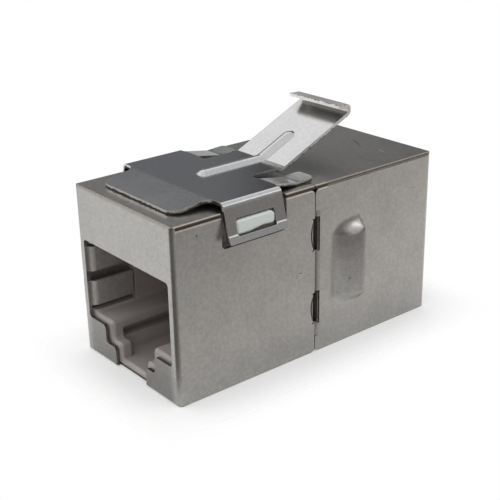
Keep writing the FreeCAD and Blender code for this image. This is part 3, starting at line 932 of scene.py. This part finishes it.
    def folded(self, across: np.ndarray, along: np.ndarray) -> np.ndarray:
        """Middle surface of the folded sheet.

        Across, the sheet follows the tab's folds. Along, it follows the lip's folds ahead of the plate,
        the leaf's folds beside the slits and the lever's folds between them. The bead adds its height.

        Args:
            across: flat coordinate across the sheet.
            along: flat coordinate along the sheet.

        Returns:
            Places in millimetres, one row each.
        """
        out, drop = self.across.walk(np.abs(across))
        lip_forward, lip_up = self.lip.walk(self.lip_start - along)
        leaf_forward, leaf_up = self.leaf.walk(along - self.plate_rear)
        lever_forward, lever_up = self.lever.walk(along - self.root_start)
        beside = np.abs(across) > (self.lever_half + self.leaf_inner) / 2
        ahead = along < self.lip_start
        on_leaf = beside & (along > self.plate_rear)
        on_lever = ~beside & (along > self.root_start)
        choices = [ahead, on_leaf, on_lever]
        forward = np.select(choices, [self.lip_start - lip_forward, self.plate_rear + leaf_forward,
                                      self.root_start + lever_forward], along)
        up = np.select(choices, [lip_up, leaf_up, lever_up], 0.0)
        return np.column_stack([np.sign(across) * out, forward, self.plate_height + up + drop])

    def surface(self, across: np.ndarray, along: np.ndarray) -> tuple[np.ndarray, np.ndarray]:
        """Middle surface with the bead, and its upward normals.

        Args:
            across: flat coordinate across the sheet.
            along: flat coordinate along the sheet.

        Returns:
            Places and unit normals, one row each.
        """
        flat = upward_normals(self.folded, across, along)

        def beaded(a: np.ndarray, b: np.ndarray) -> np.ndarray:
            """Returns the folded sheet raised by the bead."""
            return self.folded(a, b) + self.bead(a, b)[:, None] * flat

        return beaded(across, along), upward_normals(beaded, across, along)

    def grid_lines(self) -> tuple[np.ndarray, np.ndarray]:
        """Places the inner grid lines, closer together at the folds and the bead.

        Returns:
            Flat coordinates of the lines across and of those along.
        """
        turns = self.across.turns()
        spans = [(0.0, self.bead_zone, self.bead_lines), (self.bead_zone, turns[0][0], self.plate_lines),
                 (turns[0][1], turns[1][0], self.tab_lines), (turns[-1][1], self.tab_end, self.foot_lines)]
        spans += [(start, end, self.fold_lines) for start, end in turns]
        half = np.unique(np.concatenate([np.linspace(*span) for span in spans]))
        along = [np.arange(self.lip_end(), self.lever_end(), self.grid_step)]
        along.append(self.lip_start - np.linspace(0.0, self.lip.turns()[0][1], self.lip_lines))
        for start, end in self.leaf.turns():
            along.append(self.plate_rear + np.linspace(start, end, self.leaf_lines))
        for start, end in self.lever.turns():
            count = self.lever_lines + int((end - start) / self.lever_step)
            along.append(self.root_start + np.linspace(start, end, count))
        for end in (self.bead_front, self.bead_rear):
            along.append(np.linspace(end - self.bead_end, end + self.bead_end, self.bead_end_lines))
        lengthways = np.unique(np.round(np.concatenate(along), self.grid_digits))
        return np.concatenate([-half[:0:-1], half]), lengthways

    def triangles(self) -> tuple[np.ndarray, np.ndarray]:
        """Fills the flat outline with triangles.

        Returns:
            Flat coordinates of the corners, and triangles that turn left.
        """
        outlines = [self.blank(), *self.windows()]
        across, along = self.grid_lines()
        clear = self.edge_clear * self.edge_step
        grid = np.stack(np.meshgrid(across, along), axis=-1).reshape(-1, 2)
        grid = grid[distance_to_outline(grid, outlines[0]) > clear]
        for window in outlines[1:]:
            grid = grid[distance_to_outline(grid, window) < -clear]
        sides = []
        start = 0
        for outline in outlines:
            index = start + np.arange(len(outline))
            sides.append(np.column_stack([index, np.roll(index, -1)]))
            start += len(outline)
        points = np.concatenate([*outlines, grid])
        found = delaunay_2d_cdt([Vector(point) for point in points.tolist()], np.concatenate(sides).tolist(),
                                [], INSIDE_ONLY, SAME_PLACE)
        flat = np.array([tuple(point) for point in found[0]])
        faces = np.array(found[2])
        middles = flat[faces].mean(1)
        for window in outlines[1:]:
            hollow = distance_to_outline(middles, window) > 0
            faces, middles = faces[~hollow], middles[~hollow]
        first, second, third = (flat[faces[:, index]] for index in range(3))
        turn = np.cross(second - first, third - first)
        return flat, np.where((turn > 0)[:, None], faces, faces[:, ::-1])

    def build(self) -> bpy.types.Object:
        """Makes the folded sheet, with its top and underside half a thickness from the middle.

        Returns:
            The new piece.
        """
        flat, faces = self.triangles()
        middle, normal = self.surface(flat[:, 0], flat[:, 1])
        count = len(flat)
        points = np.concatenate([middle + normal * self.sheet / 2, middle - normal * self.sheet / 2]) * MM
        edges = np.concatenate([faces[:, [0, 1]], faces[:, [1, 2]], faces[:, [2, 0]]])
        keys = np.sort(edges, axis=1) @ np.array([count, 1])
        _, place, times = np.unique(keys, return_index=True, return_counts=True)
        rim = edges[place[times == 1]]
        rims = np.column_stack([rim[:, 1], rim[:, 0], rim[:, 0] + count, rim[:, 1] + count])
        mesh = bpy.data.meshes.new("clip_sheet")
        skins = faces.tolist() + (faces[:, ::-1] + count).tolist()
        mesh.from_pydata(points.tolist(), [], skins + rims.tolist())
        mesh.polygons.foreach_set("use_smooth", np.ones(len(mesh.polygons), bool))
        on_rim = np.arange(len(mesh.polygons)) >= 2 * len(faces)
        mesh.polygons.foreach_set("material_index", on_rim.astype(np.int32))
        mesh.set_sharp_from_angle(angle=math.radians(self.sharp_turn))
        piece = bpy.data.objects.new("clip_sheet", mesh)
        bpy.context.scene.collection.objects.link(piece)
        depth = mesh.attributes.new(CUT_EDGE.depth_name, "FLOAT", "POINT")
        # The arm's rim keeps less of the dark lower colour, which is partly painted shade
        on_arm = (np.abs(flat[:, 0]) < self.lever_half + self.slit_fillet) & (flat[:, 1] > self.plate_rear)
        underside = np.where(on_arm, self.arm_underside_depth, 1.0)
        depth.data.foreach_set("value", np.concatenate([np.zeros(count), underside]).astype(np.float32))
        beside = np.abs(flat[:, 0]) > (self.lever_half + self.leaf_inner) / 2
        still = beside | (flat[:, 1] < self.plate_rear)
        self.hinge(piece, np.concatenate([still, still]))
        bevel = piece.modifiers.new("edge_round", "BEVEL")
        bevel.width = self.edge_round * MM
        bevel.segments = self.edge_segments
        bevel.limit_method = "ANGLE"
        bevel.angle_limit = math.radians(self.edge_turn)
        bevel.harden_normals = True
        bevel.material = 0
        return piece

    def hinge(self, piece: bpy.types.Object, still: np.ndarray) -> None:
        """Lets the sheet bend at the lever's root and keeps the leaves on the coupler.

        Args:
            piece: the folded sheet.
            still: which points never follow the lever.
        """
        reach = 2 * (self.lever_root - self.root_start)
        height = self.plate_height * MM
        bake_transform(piece, Body.COUPLER.value, Body.LEVER.value,
                 start=(0.0, (self.lever_root - reach) * MM, height),
                 end=(0.0, (self.lever_root + reach) * MM, height))
        share = np.zeros(len(still), np.float32)
        weights = piece.data.attributes["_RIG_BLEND"].data
        weights.foreach_get("value", share)
        weights.foreach_set("value", np.where(still, 0.0, share).astype(np.float32))

    def dress(self, piece: bpy.types.Object) -> None:
        """Gives the sheet its finish and lets it stand for both solids of the clip.

        Args:
            piece: the folded sheet.
        """
        for finish in (CLIP_STEEL, CUT_EDGE):
            piece.data.materials.append(finish.material())
        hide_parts("spring_clip", "release_lever")
        LOG.info("%s: %d points", piece.name, len(piece.data.vertices))


@dataclass
class SolidPieces:
    """Pieces that keep their solid's shape and get a finish."""

    nodes: dict[str, bpy.types.Object]
    count: int = 8

    def finish(self, names: list[str], material: bpy.types.Material) -> None:
        """Gives pieces a material.

        Args:
            names: names of the pieces.
            material: their finish.
        """
        for name in names:
            slots = self.nodes[name].data.materials
            slots.clear()
            slots.append(material)
            LOG.info("%s: %s", name, material.name)

    def dress(self) -> None:
        """Gives every solid piece its finish."""
        ends = ("front", "rear")
        self.finish([f"{end}_shield" for end in ends], SHELL_NICKEL.material())
        self.finish([f"{end}_jack_housing" for end in ends], HOUSING_PLASTIC.material())
        self.finish([f"{end}_contact_carrier" for end in ends], CARRIER_PLASTIC.material())
        self.finish(["circuit_board"], BoardLaminate().material())
        contacts = [f"{end}_contact_{index}" for end in ends for index in range(1, self.count + 1)]
        self.finish(contacts, GoldPlate().material())


@dataclass(frozen=True)
class SoftPanel:
    """Light or dark screen of the studio, as a round patch of the surroundings with a soft rim."""

    towards: Point
    inner: float
    outer: float
    colour: Colour


@dataclass
class Studio:
    """Pale floor, surroundings and camera.

    The floor is in millimetres, the panels' sizes are degrees and the camera's place is in metres.
    """

    floor_half: Span = (10.5, 18.5)
    floor_fade: float = 6.0
    floor_height: float = -0.02
    floor_tone: Colour = (0.82, 0.82, 0.82)
    floor_roughness: float = 0.9
    floor_lift: float = 0.22
    horizon_fade: float = 0.05
    low_light: Colour = (0.30, 0.30, 0.30)
    high_light: Colour = (0.5, 0.5, 0.5)
    panels: tuple[SoftPanel, ...] = (
        # Overhead and front left
        SoftPanel((0.0, 0.10, 0.995), 47.0, 54.0, (1.3, 1.3, 1.3)),
        SoftPanel((0.0, 0.07, 0.997), 18.0, 28.0, (1.1, 1.1, 1.1)),
        SoftPanel((-0.75, -0.60, 0.25), 18.0, 34.0, (1.5, 1.5, 1.5)),
        # Low, on the right and behind
        SoftPanel((0.92, -0.13, -0.38), 12.0, 24.0, (0.5, 0.49, 0.475)),
        SoftPanel((0.30, 0.76, -0.58), 18.0, 38.0, (1.2, 1.18, 1.155)),
        SoftPanel((0.635, 0.585, -0.56), 8.0, 18.0, (1.15, 1.13, 1.105)),
        SoftPanel((0.84, 0.47, -0.27), 8.0, 16.0, (0.16, 0.155, 0.15)),
        SoftPanel((0.84, 0.27, -0.51), 3.0, 14.0, (1.04, 1.03, 1.015)),
        # In front: right, low left and a dark one low in the middle
        SoftPanel((0.45, -0.85, 0.25), 20.0, 36.0, (0.95, 0.95, 0.95)),
        SoftPanel((-0.77, -0.50, -0.40), 20.0, 32.0, (1.15, 1.15, 1.15)),
        SoftPanel((0.26, -0.88, -0.39), 28.0, 42.0, (0.2, 0.19, 0.175)),
        # Rear left, which the top of the clip reflects
        SoftPanel((-0.808, 0.545, 0.225), 9.0, 26.0, (0.2, 0.205, 0.215)),
        SoftPanel((-0.58, 0.76, 0.30), 10.0, 15.0, (0.02, 0.02, 0.023)),
        SoftPanel((-0.71, 0.70, 0.0), 7.0, 13.0, (0.5, 0.5, 0.5)),
        SoftPanel((-0.70, 0.69, 0.14), 3.5, 7.0, (0.64, 0.64, 0.64)),
        # High behind, high on the left and rear right
        SoftPanel((0.15, 0.58, 0.80), 16.0, 26.0, (0.97, 0.97, 0.97)),
        SoftPanel((0.60, 0.66, 0.45), 8.0, 13.0, (1.8, 1.8, 1.8)),
        SoftPanel((-0.72, 0.10, 0.69), 12.0, 22.0, (1.4, 1.39, 1.38)),
        SoftPanel((0.81, 0.58, -0.03), 8.0, 14.0, (0.32, 0.30, 0.285)),
        SoftPanel((0.77, 0.55, 0.30), 8.0, 13.0, (0.48, 0.48, 0.48)),
    )
    camera_place: Point = (0.068824, -0.056868, 0.044857)
    camera_right: Point = (0.634303, 0.772865, -0.018434)
    camera_up: Point = (-0.28526, 0.256146, 0.923589)
    camera_back: Point = (0.718531, -0.580576, 0.382942)
    lens: float = 74.4
    near_limit: float = 0.005

    def floor(self) -> None:
        """Lays a pale floor that shows white, keeps the shadow and fades out round the part."""
        across, along = self.floor_half
        margin = self.floor_fade / 2
        mesh = bpy.data.meshes.new("floor")
        corners = [((across + margin) * right * MM, (along + margin) * ahead * MM, self.floor_height * MM)
                   for right, ahead in ((-1, -1), (1, -1), (1, 1), (-1, 1))]
        mesh.from_pydata(corners, [], [(0, 1, 2, 3)])
        floor = bpy.data.objects.new("floor", mesh)
        bpy.context.scene.collection.objects.link(floor)
        material, bench = new_material("floor_paper")
        low, high = (-across, -along, -across), (across, along, across)
        solid = bench.zone(bench.place(), low, high, self.floor_fade)
        rays = bench.add("ShaderNodeLightPath").outputs
        seen = bench.math("MAXIMUM", rays["Is Camera Ray"],
                          bench.math("MAXIMUM", rays["Is Glossy Ray"], rays["Is Transmission Ray"]))
        bench.surface(Base_Color=self.floor_tone, Roughness=self.floor_roughness, Specular_IOR_Level=0.0,
                      Emission_Color=(1.0, 1.0, 1.0), Alpha=solid,
                      Emission_Strength=bench.math("MULTIPLY", seen, self.floor_lift))
        mesh.materials.append(material)

    def surroundings(self) -> None:
        """Lights the part from all round, with soft panels, in front of a white background."""
        world = bpy.data.worlds.new("studio")
        bpy.context.scene.world = world
        world.use_nodes = True
        bench = Bench(world.node_tree)
        towards = bench.add("ShaderNodeTexCoord").outputs["Generated"]
        parts = bench.add("ShaderNodeSeparateXYZ")
        bench.feed(parts.inputs[0], towards)
        above = bench.spread(parts.outputs["Z"], -self.horizon_fade, 0.0)
        light = bench.mix(above, self.low_light, self.high_light)
        for panel in self.panels:
            aim = bench.add("ShaderNodeVectorMath", operation="DOT_PRODUCT")
            bench.feed(aim.inputs[0], towards)
            bench.feed(aim.inputs[1], tuple(Vector(panel.towards).normalized()))
            edges = math.cos(math.radians(panel.outer)), math.cos(math.radians(panel.inner))
            light = bench.mix(bench.spread(aim.outputs["Value"], *edges), light, panel.colour)
        rays = bench.add("ShaderNodeLightPath").outputs
        white = bench.math("MAXIMUM", rays["Is Camera Ray"], rays["Is Transmission Ray"])
        shader = bench.add("ShaderNodeBackground")
        bench.feed(shader.inputs["Color"], bench.mix(white, light, (1.0, 1.0, 1.0)))
        bench.feed(bench.add("ShaderNodeOutputWorld").inputs["Surface"], shader.outputs[0])

    def camera(self) -> None:
        """Sets the camera where the photograph was taken from."""
        data = bpy.data.cameras.new("camera")
        data.lens = self.lens
        data.clip_start = self.near_limit
        camera = bpy.data.objects.new("camera", data)
        bpy.context.scene.collection.objects.link(camera)
        turned = Matrix((self.camera_right, self.camera_up, self.camera_back)).transposed().to_4x4()
        camera.matrix_world = Matrix.Translation(self.camera_place) @ turned
        bpy.context.scene.camera = camera

    def build(self) -> None:
        """Makes the floor, the surroundings and the camera."""
        self.floor()
        self.surroundings()
        self.camera()
        bpy.context.scene.view_settings.view_transform = "Standard"
        LOG.info("studio ready")


def main() -> None:
    """Dresses the part and sets up the studio."""
    logging.basicConfig(level=logging.INFO)
    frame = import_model()
    SolidPieces(frame["nodes"]).dress()
    clip = SpringClip()
    clip.dress(clip.build())
    Studio().build()


if __name__ == "__main__":
    main()
